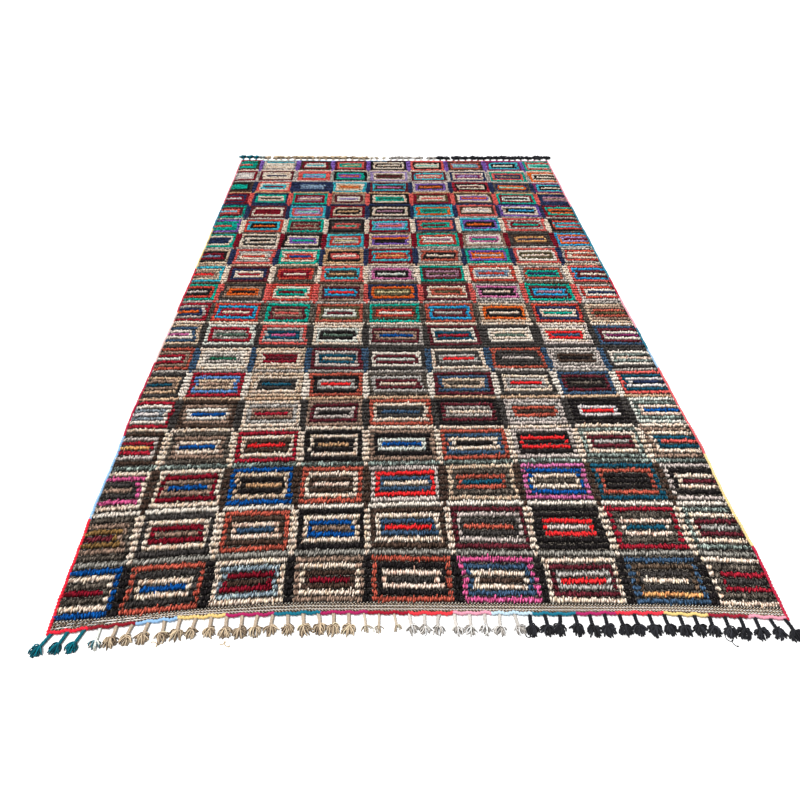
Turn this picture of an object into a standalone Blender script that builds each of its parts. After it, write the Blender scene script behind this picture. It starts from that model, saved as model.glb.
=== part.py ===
"""A hand-knotted rag rug lying flat: a ribbed field of rag pile with a flat-woven band at its near end,
a wrapped cord on all four edges, and tasselled fringes of four yarns at both ends.

The rug lies in the XY plane. +Y runs along its length, away from the end with the flat-woven band.
Lengths are in metres. The origin is under the middle of the whole rug, at floor level."""

import math
import random

import bmesh
import bpy
import numpy as np

MM = 0.001

# The cloth: the place of the cord's outside on both sides, and of the cord's middle at both ends.
SIDE_Y = (-1.57, -1.38, -1.20, -0.93, -0.75, 0.00, 1.00, 1.56)
LEFT_X = (-1.0055, -1.0145, -1.020, -1.020, -1.0235, -1.011, -1.003, -1.000)
RIGHT_X = (0.995, 1.004, 0.999, 1.009, 1.006, 0.999, 0.996, 0.998)
COLUMNS = (-1.0, -0.667, -0.333, 0.0, 0.333, 0.667, 1.0)
NEAR_Y = (-1.566, -1.531, -1.524, -1.533, -1.543, -1.550, -1.573)
FAR_Y = (1.553, 1.550, 1.547, 1.551, 1.549, 1.553, 1.557)

# The pile: the middle of each band of blocks, near to far. A band is one line row and seven block rows.
BAND_Y = (
    -1.441, -1.259, -1.081, -0.906, -0.750, -0.594, -0.443, -0.289, -0.126, 0.042,
    0.200, 0.373, 0.534, 0.690, 0.858, 1.014, 1.170, 1.326, 1.487,
)
ROWS_PER_BAND = 8
BLOCK_ROWS = 7
NEAR_PITCH = 164 * MM
FAR_PITCH = 150 * MM
ARCH = 28 * MM
ARCH_FROM_Y = -0.80
ARCH_FULL_Y = -1.34
WAVE = 2.5 * MM

# Heights above the floor.
CREST = 13.5 * MM
CREST_SPREAD = 1.6 * MM
SIDE_CREST = 10 * MM
CREST_LEAN = 0.12
VALLEY = 7 * MM
FLAT_WEAVE = 5.5 * MM

# The wrapped cord and the strip that the fringe hangs from.
CORD_WIDE = 8 * MM
END_CORD_TALL = 6.4 * MM
SIDE_CORD_TALL = 7.5 * MM
CORD_SIDES = 6
GAP = 0.3 * MM
STRIP_TALL = 2.5 * MM

# The tassels: a plaited stem that ends in a knotted tuft with a lock on each side.
TASSELS = 49
STEM_HALF = 3 * MM
STEM_TALL = 5 * MM
STEM_LONG = 34 * MM
TUFT_HALF = 11.5 * MM
TUFT_TALL = 11 * MM
TUFT_LONG = 31 * MM
LOCK_OUT = 4 * MM
LOCK_HALF = 1.5 * MM
LOCK_TALL = 5.5 * MM
LOCKED_SECTION = 3
REACH_SPREAD = 3 * MM
LEAN_SPREAD = 2.5
LEAN_X = (-1.0, -0.85, -0.6, -0.3, 0.0, 0.5, 1.0)
NEAR_LEAN = (-30, -6, 0, 8, 19, 10, 22)
FAR_LEAN = (-14, -6, 0, 4, 6, 4, 12)

# The whole is moved this far, so that the middle of its outside lies over the origin.
SHIFT_X = 7.25 * MM
SHIFT_Y = 6.00 * MM

# Colours, as linear red, green and blue.
PILE = (0.165, 0.115, 0.088)
YARN = {
    "scarlet": (0.80, 0.030, 0.045),
    "dark_red": (0.29, 0.010, 0.022),
    "crimson": (0.52, 0.018, 0.075),
    "magenta": (0.41, 0.016, 0.105),
    "coral": (0.72, 0.090, 0.110),
    "rose": (0.78, 0.30, 0.36),
    "pale_pink": (0.80, 0.55, 0.50),
    "pale_yellow": (0.82, 0.64, 0.32),
    "sky": (0.28, 0.48, 0.74),
    "pale_blue": (0.52, 0.68, 0.80),
    "teal": (0.012, 0.165, 0.225),
    "mint": (0.10, 0.42, 0.36),
    "turquoise": (0.02, 0.30, 0.36),
    "wine": (0.13, 0.012, 0.045),
    "navy": (0.020, 0.030, 0.085),
    "beige": (0.44, 0.35, 0.26),
    "cream": (0.78, 0.74, 0.67),
    "black": (0.018, 0.018, 0.020),
}

# Each fringe, left to right: its yarn and how many tassels it has.
FRINGES = (("teal", 4), ("beige", 16), ("cream", 11), ("black", 18))

# The wraps of each edge: a yarn and where it ends, left to right or near to far.
NEAR_WRAPS = (
    ("scarlet", -0.902), ("dark_red", -0.780), ("sky", -0.672), ("pale_yellow", -0.544),
    ("magenta", -0.414), ("teal", -0.286), ("magenta", -0.160), ("dark_red", -0.047),
    ("scarlet", 0.074), ("rose", 0.178), ("pale_blue", 0.290), ("teal", 0.410),
    ("magenta", 0.520), ("scarlet", 0.653), ("pale_yellow", 0.772), ("dark_red", 0.883),
    ("rose", 1.0),
)
FAR_WRAPS = (
    ("crimson", -0.86), ("mint", -0.70), ("teal", -0.52), ("sky", -0.36), ("navy", -0.20),
    ("sky", -0.06), ("wine", 0.10), ("coral", 0.60), ("magenta", 0.78), ("rose", 1.0),
)
LEFT_WRAPS = (
    ("scarlet", -1.205), ("sky", -0.860), ("crimson", -0.464), ("pale_pink", -0.120),
    ("crimson", 0.240), ("pale_yellow", 0.640), ("teal", 0.935), ("rose", 1.6),
)
RIGHT_WRAPS = (
    ("crimson", -1.345), ("pale_yellow", -0.978), ("coral", -0.520), ("sky", -0.400),
    ("teal", -0.255), ("rose", -0.025), ("crimson", 0.147), ("turquoise", 0.900), ("rose", 1.6),
)

BODY_SEED = 11
NEAR_SEED = 2
FAR_SEED = 3


def side_x(y):
    """The outside of the cord on the left and on the right at a place along the rug."""
    return np.interp(y, SIDE_Y, LEFT_X), np.interp(y, SIDE_Y, RIGHT_X)


def end_y(x, heights):
    """The middle of an end's cord at a place across the rug."""
    return float(np.interp(x, COLUMNS, heights))


def arch(u, v):
    """How far the rows near the first end sag towards it at the sides, and rise in the middle."""
    t = min(max((ARCH_FROM_Y - v) / (ARCH_FROM_Y - ARCH_FULL_Y), 0.0), 1.0)
    return -ARCH * (u * u - 1 / 3) * t * t * (3 - 2 * t)


def wave(u, v):
    """The slow waves of a hand-beaten row."""
    return WAVE * (math.sin(3.1 * u + 7.0 * v) + 0.6 * math.sin(6.7 * u - 11.0 * v))


def pile_place(u, v):
    """The plan place of a point at u across (-1 to 1) and v along, inside the side cords."""
    y = v + arch(u, v) + wave(u, v)
    left, right = side_x(y)
    inset = CORD_WIDE + GAP
    return left + inset + (u + 1) / 2 * (right - left - 2 * inset), y


def row_lines():
    """The middle of every pile row, near to far: seven rows to a band, and a line row between bands."""
    lines = []
    last = len(BAND_Y) - 1
    for band, middle in enumerate(BAND_Y):
        before = BAND_Y[band - 1] if band else middle - NEAR_PITCH
        after = BAND_Y[band + 1] if band < last else middle + FAR_PITCH
        half = BLOCK_ROWS // 2
        for step in range(-half, half + 1):
            pitch = (middle - before if step < 0 else after - middle) / ROWS_PER_BAND
            lines.append(middle + step * pitch)
        if band < last:
            lines.append((middle + after) / 2)
    return lines


def end_line(heights, side):
    """The cloth's own edge at an end, one point for each column, with the cord and a gap left outside it."""
    inset = CORD_WIDE / 2 + GAP
    points = []
    for column in COLUMNS:
        y = end_y(column, heights) + side * inset
        left, right = side_x(y)
        x = min(max(column, left + CORD_WIDE + GAP), right - CORD_WIDE - GAP)
        points.append((x, end_y(x, heights) + side * inset))
    return points


def new_object(name, verts, faces, colour, roughness):
    """One closed mesh with its own material, its faces turned outwards."""
    mesh = bpy.data.meshes.new(name)
    mesh.from_pydata([(x + SHIFT_X, y + SHIFT_Y, z) for x, y, z in verts], [], faces)
    work = bmesh.new()
    work.from_mesh(mesh)
    bmesh.ops.recalc_face_normals(work, faces=work.faces)
    work.to_mesh(mesh)
    work.free()
    material = bpy.data.materials.new(name)
    material.use_nodes = True
    shader = material.node_tree.nodes["Principled BSDF"]
    shader.inputs["Base Color"].default_value = (*colour, 1.0)
    shader.inputs["Roughness"].default_value = roughness
    shader.inputs["Metallic"].default_value = 0.0
    material.diffuse_color = (*colour, 1.0)
    mesh.materials.append(material)
    thing = bpy.data.objects.new(name, mesh)
    bpy.context.scene.collection.objects.link(thing)
    return thing


def body_rows(rng):
    """The lines of points over the cloth, near to far: its edge, the flat band, and each rib's crest and valley."""
    lines = row_lines()
    half_row = (lines[1] - lines[0]) / 2
    rows = [[(x, y, FLAT_WEAVE) for x, y in end_line(NEAR_Y, 1)]]
    rows.append([(*pile_place(u, lines[0] - half_row), FLAT_WEAVE) for u in COLUMNS])
    for index, line in enumerate(lines):
        after = lines[index + 1] if index + 1 < len(lines) else line + 2 * half_row
        lift = rng.uniform(-1, 1)
        crest = []
        for u in COLUMNS:
            top = CREST + CREST_SPREAD * (lift + rng.uniform(-1, 1)) / 2
            if abs(u) == 1:
                top = SIDE_CREST
            crest.append((*pile_place(u, line - CREST_LEAN * (after - line)), top))
        rows.append(crest)
        rows.append([(*pile_place(u, (line + after) / 2), VALLEY) for u in COLUMNS])
    rows[-1] = [(x, y, VALLEY) for x, y in end_line(FAR_Y, -1)]
    return rows


def rug_body(rng):
    """The woven cloth: a lattice of points over the ribs, and walls down to a flat underside."""
    rows = body_rows(rng)
    across, last = len(COLUMNS), len(rows) - 1
    verts = [point for row in rows for point in row]
    left_foot = len(verts)
    verts += [(row[0][0], row[0][1], 0.0) for row in rows]
    right_foot = len(verts)
    verts += [(row[-1][0], row[-1][1], 0.0) for row in rows]
    faces = []
    for r in range(last):
        a = r * across
        b = a + across - 1
        for c in range(a, b):
            faces.append((c, c + 1, c + across + 1, c + across))
        faces.append((a, a + across, left_foot + r + 1, left_foot + r))
        faces.append((b, right_foot + r, right_foot + r + 1, b + across))
        if 0 < r < last - 1:
            faces.append((left_foot + r, left_foot + r + 1, right_foot + r + 1, right_foot + r))
    for r, inner in ((0, 1), (last, last - 1)):
        feet = [left_foot + r]
        for x, y, _ in rows[r][1:-1]:
            feet.append(len(verts))
            verts.append((x, y, 0.0))
        feet.append(right_foot + r)
        for c in range(across - 1):
            a = r * across + c
            faces.append((a, a + 1, feet[c + 1], feet[c]))
        faces.append((*feet, right_foot + inner, left_foot + inner))
    return new_object("rug_body", verts, faces, PILE, 0.95)


def cord(name, path, tall, base, colour):
    """A six-sided cord along a path, flat underneath at the base height."""
    verts, faces = [], []
    for index, (x, y) in enumerate(path):
        ax, ay = path[max(index - 1, 0)]
        bx, by = path[min(index + 1, len(path) - 1)]
        long = math.hypot(bx - ax, by - ay)
        nx, ny = -(by - ay) / long, (bx - ax) / long
        for side in range(CORD_SIDES):
            turn = 2 * math.pi * side / CORD_SIDES
            out = math.cos(turn) * CORD_WIDE / 2
            up = math.sin(turn) / math.sin(math.pi / 3) * tall / 2
            verts.append((x + nx * out, y + ny * out, base + tall / 2 + up))
    for index in range(len(path) - 1):
        for side in range(CORD_SIDES):
            a = index * CORD_SIDES + side
            b = index * CORD_SIDES + (side + 1) % CORD_SIDES
            faces.append((a, b, b + CORD_SIDES, a + CORD_SIDES))
    faces.append(tuple(range(CORD_SIDES)))
    faces.append(tuple(range(len(verts) - CORD_SIDES, len(verts))))
    return new_object(name, verts, faces, colour, 0.8)


def end_cords(end, heights, wraps):
    """The wraps along an end, above the fringe's strip."""
    left, right = side_x(end_y(-1.0, heights))
    start = left + CORD_WIDE + GAP
    for number, (yarn, stop) in enumerate(wraps, 1):
        stop = min(stop, right - CORD_WIDE - GAP)
        xs = [start + GAP / 2] + [c for c in COLUMNS if start + CORD_WIDE < c < stop - CORD_WIDE]
        xs.append(stop - GAP / 2)
        path = [(x, end_y(x, heights)) for x in xs]
        cord(f"{end}_wrap_{number:02d}_{yarn}", path, END_CORD_TALL, STRIP_TALL + GAP, YARN[yarn])
        start = stop


def side_cords(side, wraps):
    """The wraps along a side, which lie on the floor and cover the ends of the end cords."""
    outside = LEFT_X if side == "left" else RIGHT_X
    inward = CORD_WIDE / 2 if side == "left" else -CORD_WIDE / 2
    column = COLUMNS[0] if side == "left" else COLUMNS[-1]
    start = end_y(column, NEAR_Y) - CORD_WIDE / 2
    for number, (yarn, stop) in enumerate(wraps, 1):
        stop = min(stop, end_y(column, FAR_Y) + CORD_WIDE / 2)
        ys = [start + GAP / 2] + [y for y in SIDE_Y if start + CORD_WIDE < y < stop - CORD_WIDE]
        ys.append(stop - GAP / 2)
        path = [(float(np.interp(y, SIDE_Y, outside)) + inward, y) for y in ys]
        cord(f"{side}_wrap_{number:02d}_{yarn}", path, SIDE_CORD_TALL, 0.0, YARN[yarn])
        start = stop


def lock(verts, faces, loop, middle, along):
    """Draws one side face of a tuft out into a short lock. The loop runs low near, low far, high far, high near."""
    start = len(verts)
    for fore, z in ((-1, 0.0), (1, 0.0), (1, LOCK_TALL), (-1, LOCK_TALL)):
        x = middle[0] + fore * LOCK_HALF * along[0]
        y = middle[1] + fore * LOCK_HALF * along[1]
        verts.append((x, y, z))
    end = (start, start + 1, start + 2, start + 3)
    for edge in range(4):
        after = (edge + 1) % 4
        faces.append((loop[edge], loop[after], end[after], end[edge]))
    faces.append(end)


def tassel(verts, faces, root, foot, lean, reach, out):
    """Grows one tassel from a root face of the strip: a stem, a tuft, and a lock from each side of the tuft."""
    turn = math.radians(lean)
    along = (math.sin(turn), out * math.cos(turn))
    across = (out * along[1], -out * along[0])

    def place(distance, sideways):
        x = foot[0] + along[0] * distance * reach + across[0] * sideways
        y = foot[1] + along[1] * distance * reach + across[1] * sideways
        return x, y

    sections = (
        (0.10 * STEM_LONG, STEM_HALF, STEM_TALL),
        (STEM_LONG, 0.80 * STEM_HALF, STEM_TALL),
        (STEM_LONG + 0.30 * TUFT_LONG, 0.85 * TUFT_HALF, TUFT_TALL),
        (STEM_LONG + 0.72 * TUFT_LONG, TUFT_HALF, 0.90 * TUFT_TALL),
        (STEM_LONG + TUFT_LONG, 0.45 * TUFT_HALF, 0.50 * TUFT_TALL),
    )
    lock_at = STEM_LONG + 0.56 * TUFT_LONG
    before = root
    for number, (distance, half, tall) in enumerate(sections):
        start = len(verts)
        for side, z in ((-1, 0.0), (1, 0.0), (1, tall), (-1, tall)):
            verts.append((*place(distance, side * half), z))
        here = (start, start + 1, start + 2, start + 3)
        for k in range(4):
            after = (k + 1) % 4
            if number == LOCKED_SECTION and k in (1, 3):
                side = 1 if k == 1 else -1
                low, high = (1, 2) if k == 1 else (0, 3)
                loop = (before[low], here[low], here[high], before[high])
                lock(verts, faces, loop, place(lock_at, side * (TUFT_HALF + LOCK_OUT)), along)
            else:
                faces.append((before[k], before[after], here[after], here[k]))
        before = here
    faces.append(before)


def fringe(end, yarn, feet, first, last, heights, leans, rng):
    """One strip under the end cord, with the tassels of one yarn growing from its outer face."""
    out = -1 if end == "near" else 1
    stops = [(first, None)]
    for foot in feet:
        stops += [(foot - STEM_HALF, foot), (foot + STEM_HALF, None)]
    taken = [x for x, _ in stops]
    stops += [(c, None) for c in COLUMNS if first < c < last and min(abs(c - x) for x in taken) > 3 * MM]
    stops.append((last, None))
    stops.sort(key=lambda stop: stop[0])
    verts, faces = [], []
    for x, _ in stops:
        y = end_y(x, heights)
        inner, outer = y - out * CORD_WIDE / 2, y + out * CORD_WIDE / 2
        verts += [(x, inner, 0.0), (x, outer, 0.0), (x, outer, STRIP_TALL), (x, inner, STRIP_TALL)]
    for index in range(len(stops) - 1):
        a, b = 4 * index, 4 * index + 4
        foot = stops[index][1]
        for k in range(4):
            m = (k + 1) % 4
            if foot is not None and k == 1:
                root = [a + 1, b + 1, b + 2, a + 2]
                place = (foot, end_y(foot, heights) + out * CORD_WIDE / 2)
                lean = float(np.interp(foot, LEAN_X, leans)) + rng.uniform(-LEAN_SPREAD, LEAN_SPREAD)
                reach = 1 + rng.uniform(-1, 1) * REACH_SPREAD / (STEM_LONG + TUFT_LONG)
                tassel(verts, faces, root, place, lean, reach, out)
            else:
                faces.append((a + k, a + m, b + m, b + k))
    faces.append((0, 1, 2, 3))
    top = 4 * (len(stops) - 1)
    faces.append((top, top + 1, top + 2, top + 3))
    new_object(f"{end}_fringe_{yarn}", verts, faces, YARN[yarn], 0.9)


def fringes(end, heights, leans, rng):
    """The four fringes of an end, parted by a gap half-way between the tassels of two yarns."""
    left, right = side_x(end_y(-1.0, heights))
    start, stop = left + CORD_WIDE + GAP, right - CORD_WIDE - GAP
    pitch = (stop - start) / TASSELS
    feet = [start + (number + 0.5) * pitch for number in range(TASSELS)]
    done = 0
    for yarn, count in FRINGES:
        first = start + done * pitch + GAP / 2
        last = start + (done + count) * pitch - GAP / 2
        fringe(end, yarn, feet[done:done + count], first, last, heights, leans, rng)
        done += count


def main():
    for thing in list(bpy.data.objects):
        bpy.data.objects.remove(thing, do_unlink=True)
    rug_body(random.Random(BODY_SEED))
    end_cords("near", NEAR_Y, NEAR_WRAPS)
    end_cords("far", FAR_Y, FAR_WRAPS)
    side_cords("left", LEFT_WRAPS)
    side_cords("right", RIGHT_WRAPS)
    fringes("near", NEAR_Y, NEAR_LEAN, random.Random(NEAR_SEED))
    fringes("far", FAR_Y, FAR_LEAN, random.Random(FAR_SEED))


main()
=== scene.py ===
"""The looks of the boucherouite rug: every knot of the pile, the flat-woven end band, the wrapped cord on
the four edges and the plaited tassels, each as yarn with its own colour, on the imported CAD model.

Lengths are in metres, in the CAD model's frame. +Y runs along the rug, away from the end nearest the camera.
Plan places are those of the cloth before SHIFT moves the whole so that its middle is over the origin."""

import math
import random

import bpy
import numpy as np
from mathutils import Matrix


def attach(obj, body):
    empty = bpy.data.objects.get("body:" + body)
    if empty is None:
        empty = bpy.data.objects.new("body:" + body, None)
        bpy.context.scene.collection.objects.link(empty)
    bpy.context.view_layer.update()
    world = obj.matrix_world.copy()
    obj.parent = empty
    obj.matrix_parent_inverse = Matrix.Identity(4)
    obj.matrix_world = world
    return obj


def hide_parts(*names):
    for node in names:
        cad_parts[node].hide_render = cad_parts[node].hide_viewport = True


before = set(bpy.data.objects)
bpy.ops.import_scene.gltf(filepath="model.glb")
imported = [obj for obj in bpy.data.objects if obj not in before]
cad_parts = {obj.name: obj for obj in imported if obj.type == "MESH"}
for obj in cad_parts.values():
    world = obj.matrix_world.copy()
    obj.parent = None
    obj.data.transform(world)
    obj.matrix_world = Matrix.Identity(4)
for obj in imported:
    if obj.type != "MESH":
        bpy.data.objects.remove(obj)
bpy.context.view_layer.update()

MM = 0.001
SHIFT = np.array((7.25 * MM, 6.00 * MM, 0.0))

# The cloth's outline, as in the CAD model.
SIDE_Y = (-1.57, -1.38, -1.20, -0.93, -0.75, 0.00, 1.00, 1.56)
LEFT_X = (-1.0055, -1.0145, -1.020, -1.020, -1.0235, -1.011, -1.003, -1.000)
RIGHT_X = (0.995, 1.004, 0.999, 1.009, 1.006, 0.999, 0.996, 0.998)
COLUMNS = (-1.0, -0.667, -0.333, 0.0, 0.333, 0.667, 1.0)
NEAR_Y = (-1.566, -1.531, -1.524, -1.533, -1.543, -1.550, -1.573)
FAR_Y = (1.553, 1.550, 1.547, 1.551, 1.549, 1.553, 1.557)
CORD_WIDE = 8 * MM
GAP = 0.3 * MM

# The bands of blocks, near to far, and the rows of knots in each.
BAND_Y = (
    -1.441, -1.259, -1.081, -0.906, -0.750, -0.594, -0.443, -0.289, -0.126, 0.042,
    0.200, 0.373, 0.534, 0.690, 0.858, 1.014, 1.170, 1.326, 1.487,
)
ROWS_PER_BAND = 8
BLOCK_ROWS = 7
NEAR_PITCH = 174 * MM
FAR_PITCH = 165 * MM
ARCH = 28 * MM
ARCH_FROM_Y = -0.80
ARCH_FULL_Y = -1.34
WAVE = 2.5 * MM

# How far the rows have crept along the rug, in millimetres: the place along, then the creep at the left edge,
# left of the middle, in the middle, right of it and at the right edge.
CREEP = (
    (-1.53, 4, 17, 6, -5, -3),
    (-1.44, 2, 5, -4, -9, -5),
    (-1.36, -3, 5, -4, -9, -6),
    (-1.17, -13, -7, -6, -6, -8),
    (-0.83, -7, -5, -9, -13, -12),
    (-0.52, 0, -7, -13, -8, -9),
    (-0.21, 7, -2, -8, -11, -26),
    (0.12, -6, -12, -17, -17, -20),
    (0.45, -24, -30, -20, -12, -14),
    (0.77, -24, -24, -16, -6, -18),
    (1.09, -12, -15, -25, -12, -25),
    (1.41, -16, -20, -18, -16, -28),
    (1.55, -12, -14, -12, -13, -18),
)
CREEP_STEP = 0.45

# Where the upright bars run: the place along, then the place across of each of the eight, left to right.
BARS = (
    (-1.44, -0.848, -0.611, -0.385, -0.159, 0.093, 0.340, 0.578, 0.812),
    (-1.17, -0.861, -0.621, -0.392, -0.164, 0.086, 0.338, 0.579, 0.819),
    (-0.75, -0.861, -0.633, -0.400, -0.175, 0.082, 0.333, 0.574, 0.806),
    (-0.29, -0.862, -0.633, -0.413, -0.178, 0.076, 0.318, 0.556, 0.794),
    (0.20, -0.853, -0.630, -0.408, -0.181, 0.068, 0.309, 0.557, 0.799),
    (0.69, -0.846, -0.623, -0.402, -0.182, 0.069, 0.313, 0.558, 0.807),
    (1.25, -0.855, -0.626, -0.402, -0.176, 0.074, 0.316, 0.563, 0.809),
)

# The knots, and the strands of pile across the cloth in a row. A block's frame is RING_KNOTS wide, and SLIPS
# has how far the weaver's count may be out.
KNOTS = 280
STRANDS = 660
KNOT_WIDE = 7.15 * MM
RING_KNOTS = 2
SLIPS = (-1, 0, 0, 0, 0, 0, 0, 1)
BAR_HALF = 13.5 * MM
PILE_PIECES = ((0, 4), (4, 8), (8, 12), (12, 16), (16, 19))

# A strand of pile, at its root, its crest and its tip: the place in shares of the row's pitch, the height,
# how much of its lean it has there, how far a short run's strands draw together there, and 1 at the crest.
STRAND = (
    (0.56, 5.0 * MM, 0.0, 0.34, 0),
    (0.0, 9.6 * MM, 0.45, 0.04, 1),
    (-0.60, 3.6 * MM, 1.0, 0.52, 0),
)
STRAND_WIDE = 3.0 * MM
STRAND_TALL = 3.6 * MM
SLANT = -3.5 * MM

# A run of one yarn with fewer strands than this is one upright stitch of a frame or a bar. It is egg-shaped,
# because its strands draw together, and it leans less.
SHORT_RUN = 15
SHORT_LEAN = 0.6

# The unevenness of the pile across a row, as waves: size, turns across, turn from row to row, and start.
LEAN_WAVES = ((2.4 * MM, 13, 2.1, 0), (2.2 * MM, 47, -1.3, 2))
LIFT_WAVES = ((0.7 * MM, 7, 3.3, 0), (0.6 * MM, 31, 1, 0))
SHIFT_WAVES = ((0.8 * MM, 19, 2.7, 0),)
DYE_WAVES = ((1, 5, 1.7, 0), (1, 23, 0.9, 0))

# The unevenness of hand work: how far a measure is spread about its mean, as a length or a share. First the
# pile's strands, then the end band and the cords, then the tassels, whose lean is in degrees.
SPREAD = {
    "lean": 2.0 * MM, "lift": 0.9 * MM, "shift": 0.7 * MM, "place": 0.5 * MM,
    "crest": 0.20, "length": 0.15, "girth": 0.18, "dye": 0.18,
    "stitch": 0.3 * MM, "stitch_dye": 0.14, "wrap_dye": 0.05,
    "tassel_lean": 6.0, "stem_bow": 1.3 * MM, "stem_dye": 0.10, "tuft_foot": 1.6 * MM,
    "tuft_fan": 0.12, "tuft_bend": 0.18, "tuft_curl": 0.30, "tuft_turn": 0.16, "tuft_dye": 0.14,
}

# The pile is thinner by this share at the near right: from a place across and along, over a distance.
THINNER = 0.12
THIN_FROM = (0.10, -0.80)
THIN_OVER = 0.45

# The pile is lower over the last few strands at each side, where the cord holds it down.
EDGE_STRANDS = 8
EDGE_LOW = 0.72

# How much of its colour a strand keeps at its points: the crest's top and two sides, the root and the tip.
# It is painted light: a highlight on the crest's top, and shade at its sides, its root and its tip.
STRAND_PAINTED_LIGHT = (1.80, 0.64, 0.64, 0.50, 0.30)

# The depth of dye: its mean and its drift along a row. DEEP_STRANDS is the share of strands that lie deep
# and get painted shade, their colour times the number after it.
DYE_MEAN = 1.03
DYE_DRIFT = 0.07
DEEP_STRANDS = 0.08
DEEP_PAINTED_SHADE = 0.45

# The palest that a strand gets under its painted highlight, a warm white, and the darkest that any colour
# gets under painted shade.
PALEST = "fcf2e6"
DARKEST = 0.002

# The core of a row: the feet of its knots, seen between the strands, with a small gap between runs. Its
# colour is darkened, most at its sides: painted shade in the gaps between the strands.
CORE_GAP = 2.4 * MM
CORE_HIGH = 5.6 * MM
CORE_TALL = 3.4 * MM
CORE_WIDE = 0.42
CORE_PAINTED_SHADE = (0.28, 0.10, 0.10)

# The flat band at the near end: rows of slanting stitches between the cord and the first row of knots.
GROUND_TOP = 5.5 * MM
STITCHES = 440
STITCH_THICK = 1.5 * MM
FIRST_ROW_HALF = 9 * MM

# Its rows, from the cord to the pile: two colours in turn, and how far a stitch leans along the edge and
# reaches across its row, in shares of the stitch's width and of the row's depth.
END_ROWS = (
    ("c3ab93", "584638", 0.3, 0.40),
    ("fcf5ea", "8a745f", 0.9, 0.28),
    ("bfa78f", "54443a", 0.3, 0.38),
    ("f8eee0", "7d6855", 0.9, 0.28),
    ("c2ab93", "463930", 0.3, 0.36),
    ("1f1b19", "d9cfc1", 0.3, 0.34),
)
CORNER_PAIR = ("3b4043", "ebe8e0")
# Painted light round each stitch: lighter on its top, darker at its sides.
STITCH_PAINTED_LIGHT = (1.25, 0.6, 0.6)

# The wrapped cord: a twist of this length that stands this far off the cord's middle, and how much fuller it
# is than the CAD model's. At the ends it is drawn in at each tassel by SCALLOP. CORD_CHUNK of its spans share
# one cell of the UV map.
TWIST = 10 * MM
TWIST_OUT = 1.3 * MM
CORD_FULL = 1.3
SCALLOP = 1.7 * MM
CORD_STEP = 2.5 * MM
CORD_SHADE = 0.8
CORD_SIDES = 6
CORD_CHUNK = 20
STRIP_TALL = 2.5 * MM
END_CORD_TALL = 6.4 * MM
SIDE_CORD_TALL = 7.5 * MM
SIDE_CORD_BASE = 1.0 * MM

# How the cord strays from its line, and its twist from an even turn and an even width: waves, each a size and
# a length.
DRIFT_WAVES = ((1.0 * MM, 58 * MM), (0.7 * MM, 13 * MM), (0.4 * MM, 5 * MM))
TURN_WAVES = ((0.8, 31 * MM),)
OUT_WAVES = ((0.3, 47 * MM),)

# The tassels: a stem plaited of three strands, and a tuft of loose ones with a tall heap in its middle.
TASSELS = 49
STEM_LONG = 34 * MM
TUFT_LONG = 31 * MM
BRAID_TURN = 19 * MM
BRAID_OUT = 2.9 * MM
BRAID_HALF = 3.0 * MM
BRAID_MIDDLE = 4.2 * MM
BRAID_RISE = 1.3 * MM
TUFT_RISE = 8.5 * MM
# Painted light round the rings of the stems, the tufts' strands and the loose threads: lighter on top, darker
# at the sides and below.
STEM_PAINTED_LIGHT = (1.15, 0.75, 0.4, 0.75)
TUFT_PAINTED_LIGHT = (1.35, 0.36, 0.36)
THREAD_PAINTED_LIGHT = (1.0, 0.8, 0.6, 0.8)
REACH_SPREAD = 3 * MM
LEAN_SPREAD = 2.5
FAR_STRETCH = 1.35
CORNER_INSET = 3 * MM
LEAN_X = (-1.0, -0.85, -0.6, -0.3, 0.0, 0.5, 1.0)
NEAR_LEAN = (-30, -10, -2, 2, 4, -3, 2)
FAR_LEAN = (-14, -6, 0, 4, 6, 4, 12)
NEAR_SEED = 2
FAR_SEED = 3

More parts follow.
